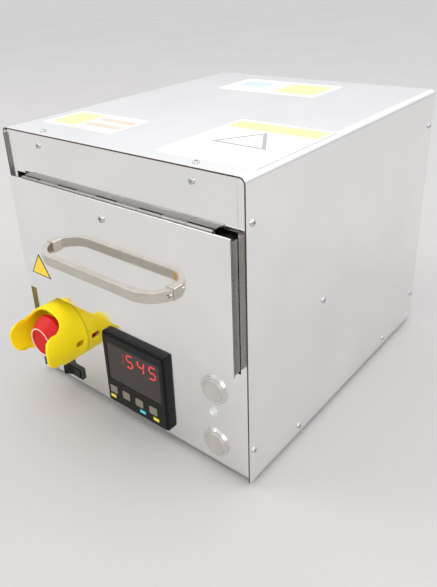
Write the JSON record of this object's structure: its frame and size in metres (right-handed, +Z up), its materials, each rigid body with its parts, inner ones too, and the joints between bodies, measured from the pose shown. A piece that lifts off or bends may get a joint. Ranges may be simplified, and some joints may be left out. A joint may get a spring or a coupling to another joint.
{
  "type": "pottery kiln",
  "caption": "Bench-top electric kiln in a polished steel case with a lift-up door, bow handle, digital temperature controller, push-buttons and a guarded emergency stop",
  "frame": {"origin": "on the supporting surface, under the middle of the overall box in plan", "axes": "+Z up; the door and controls face -Y; +X is to the right for a person facing the door"},
  "size_m": [0.2624, 0.351, 0.2552],
  "materials": {
    "polished_steel": "polished",
    "zinc_sheet": "satin",
    "screw_steel": "satin",
    "hinge_steel": "satin",
    "handle_steel": "polished",
    "pan_steel": "satin",
    "dark_steel": "satin",
    "foot_rubber": "matte",
    "fire_brick": "matte",
    "shelf_ceramic": "matte",
    "element_wire": "matte",
    "terminal_brass": "satin",
    "sheath_ceramic": "matte",
    "fibre_rope": "matte",
    "fibre_board": "matte",
    "black_plastic": "matte",
    "black_gloss": "satin",
    "window_plastic": "satin",
    "key_plastic": "matte",
    "button_metal": "satin",
    "button_cap_upper": "satin",
    "button_cap_lower": "satin",
    "lamp_lens": "gloss",
    "guard_yellow": "satin",
    "stop_red": "satin",
    "heatsink_aluminium": "satin",
    "wire_cover": "matte",
    "plate_film": "gloss"
  },
  "bodies": {
    "case": {"outer_cover": "polished_steel", "front_panel": "polished_steel", "top_fascia": "polished_steel", "rear_panel": "polished_steel", "base_tray": "zinc_sheet", "front_crossbar": "zinc_sheet", "door_surround": "zinc_sheet", "chamber_deck": "zinc_sheet", "inner_casing": "zinc_sheet", "side_brackets": "zinc_sheet", "foot_screws": "screw_steel", "case_screws": "screw_steel", "button_nuts": "screw_steel", "hinge_fixed_leaf": "hinge_steel", "hinge_pin": "dark_steel", "rubber_feet": "foot_rubber", "floor_brick": "fire_brick", "roof_brick": "fire_brick", "left_brick": "fire_brick", "right_brick": "fire_brick", "rear_brick": "fire_brick", "kiln_shelf": "shelf_ceramic", "left_element": "element_wire", "right_element": "element_wire", "element_terminals": "terminal_brass", "thermocouple": "sheath_ceramic", "door_gasket": "fibre_rope", "controller_housing": "black_plastic", "controller_bezel": "black_gloss", "controller_window": "window_plastic", "controller_clamp": "black_plastic", "button_bodies": "button_metal", "indicator_light": "lamp_lens", "estop_guard": "guard_yellow", "estop_body": "black_plastic", "estop_contacts": "black_plastic", "rocker_frame": "black_plastic", "contactor": "black_plastic", "solid_state_relay": "heatsink_aluminium", "power_inlet": "black_plastic", "inlet_pins": "terminal_brass", "power_wires": "wire_cover", "warning_plates": "plate_film"},
    "door": {"door_skin": "polished_steel", "door_pan": "pan_steel", "door_plug": "fibre_board", "door_screw": "screw_steel", "handle": "handle_steel", "handle_feet": "handle_steel", "handle_screws": "screw_steel", "hinge_door_leaf": "hinge_steel"},
    "estop_plunger": {"estop_plunger": "black_plastic"},
    "estop_head": {"estop_head": "stop_red"},
    "upper_button": {"upper_button": "button_cap_upper"},
    "lower_button": {"lower_button": "button_cap_lower"},
    "rocker": {"rocker": "black_gloss"},
    "controller_key_1": {"controller_key_1": "key_plastic"},
    "controller_key_2": {"controller_key_2": "key_plastic"},
    "controller_key_3": {"controller_key_3": "key_plastic"},
    "controller_key_4": {"controller_key_4": "key_plastic"}
  },
  "joints": [
    {"name": "door_hinge", "type": "hinge", "parent": "case", "child": "door", "pos_m": [0, -0.1358, 0.213], "axis": [-1, 0, 0], "range_deg": [0, 100]},
    {"name": "estop_push", "type": "slide", "parent": "case", "child": "estop_plunger", "axis": [0, 1, 0], "range_m": [0, 0.004]},
    {"name": "estop_twist", "type": "hinge", "parent": "estop_plunger", "child": "estop_head", "pos_m": [-0.0828, -0.1565, 0.0661], "axis": [0, 1, 0], "range_deg": [0, 45], "stiffness_Nm_per_rad": 0.02},
    {"name": "upper_button_push", "type": "slide", "parent": "case", "child": "upper_button", "axis": [0, 1, 0], "range_m": [0, 0.0018], "stiffness_N_per_m": 600},
    {"name": "lower_button_push", "type": "slide", "parent": "case", "child": "lower_button", "axis": [0, 1, 0], "range_m": [0, 0.0018], "stiffness_N_per_m": 600},
    {"name": "rocker_tilt", "type": "hinge", "parent": "case", "child": "rocker", "pos_m": [-0.0823, -0.1275, 0.0176], "axis": [0, 0, -1], "range_deg": [0, 24]},
    {"name": "key_1_push", "type": "slide", "parent": "case", "child": "controller_key_1", "axis": [0, 1, 0], "range_m": [0, 0.0006], "stiffness_N_per_m": 500},
    {"name": "key_2_push", "type": "slide", "parent": "case", "child": "controller_key_2", "axis": [0, 1, 0], "range_m": [0, 0.0006], "stiffness_N_per_m": 500},
    {"name": "key_3_push", "type": "slide", "parent": "case", "child": "controller_key_3", "axis": [0, 1, 0], "range_m": [0, 0.0006], "stiffness_N_per_m": 500},
    {"name": "key_4_push", "type": "slide", "parent": "case", "child": "controller_key_4", "axis": [0, 1, 0], "range_m": [0, 0.0006], "stiffness_N_per_m": 500}
  ]
}
